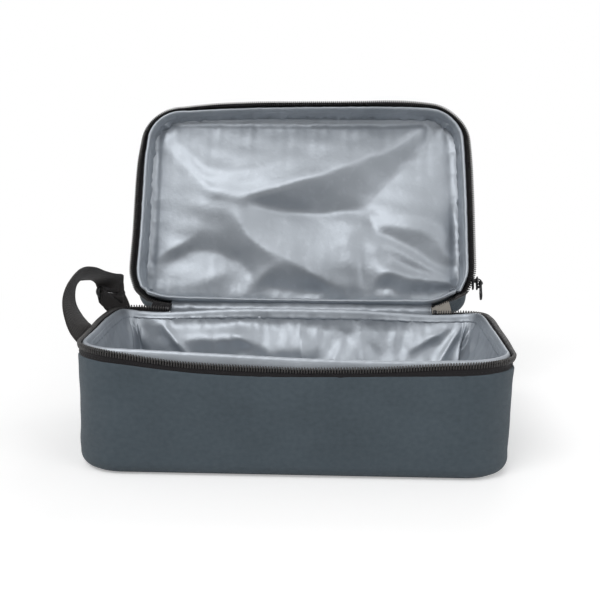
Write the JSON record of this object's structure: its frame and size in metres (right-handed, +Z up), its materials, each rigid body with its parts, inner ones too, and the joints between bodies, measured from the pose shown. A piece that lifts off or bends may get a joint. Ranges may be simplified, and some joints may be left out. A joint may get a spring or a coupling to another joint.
{
  "type": "insulated lunch bag",
  "caption": "Soft insulated lunch bag: padded tray with a silver lining, a zip-round lid hinged along the back edge, and a webbing carry strap with a plastic ring at one side.",
  "frame": {"origin": "centre of the flat underside, on the surface the bag stands on", "axes": "+X to the bag's right seen from the front, +Y to the back where the lid hinges, +Z up"},
  "size_m": [0.3367, 0.3051, 0.259],
  "materials": {
    "outer_fabric": "matte woven polyester, slate grey",
    "foam": "closed-cell foam core, hidden",
    "silver_lining": "glossy silver wipe-clean film",
    "zip_tape": "black woven zip tape",
    "zip_coil": "black nylon coil",
    "zip_metal": "black enamelled zinc",
    "webbing": "black ribbed webbing",
    "ring_plastic": "black moulded plastic"
  },
  "bodies": {
    "base": {"base_outer_wall": "outer_fabric", "base_bottom_panel": "outer_fabric", "hinge_panel": "outer_fabric", "base_wall_foam": "foam", "base_bottom_foam": "foam", "base_lining": "silver_lining", "base_rim_binding": "silver_lining", "hinge_lining": "silver_lining", "base_zip_tape": "zip_tape", "base_zip_coil": "zip_coil", "base_zip_stop_left": "zip_metal", "base_zip_stop_right": "zip_metal", "strap_tab": "webbing", "strap_patch": "webbing"},
    "lid": {"lid_outer_wall": "outer_fabric", "lid_outer_panel": "outer_fabric", "lid_wall_foam": "foam", "lid_panel_foam": "foam", "lid_lining": "silver_lining", "lid_rim_binding": "silver_lining", "lid_zip_tape": "zip_tape", "lid_zip_coil": "zip_coil", "lid_zip_stop_left": "zip_metal", "lid_zip_stop_right": "zip_metal"},
    "zip_slider": {"zip_slider": "zip_metal"},
    "zip_pull": {"zip_pull": "zip_metal"},
    "strap": {"carry_strap": "webbing", "strap_ring": "ring_plastic"}
  },
  "joints": [
    {"name": "lid_hinge", "type": "hinge", "parent": "base", "child": "lid", "pos_m": [0, 0.098, 0.082], "axis": [-1, 0, 0], "range_deg": [-113.8, 56], "deforming": ["hinge_panel", "hinge_lining"]},
    {"name": "zip_slider_travel", "type": "slide", "parent": "lid", "child": "zip_slider", "axis": [0, 0.4035, 0.915], "range_m": [0, 0.128]},
    {"name": "zip_pull_swing", "type": "hinge", "parent": "zip_slider", "child": "zip_pull", "pos_m": [0.1538, 0.10769, 0.10396], "axis": [0, -0.915, 0.4035], "range_deg": [0, 170]},
    {"name": "strap_swing", "type": "hinge", "parent": "base", "child": "strap", "pos_m": [-0.1532, -0.03, 0.0703], "axis": [0.0658, -0.9793, -0.1916], "range_deg": [0, 70], "deforming": ["strap_tab"]}
  ]
}
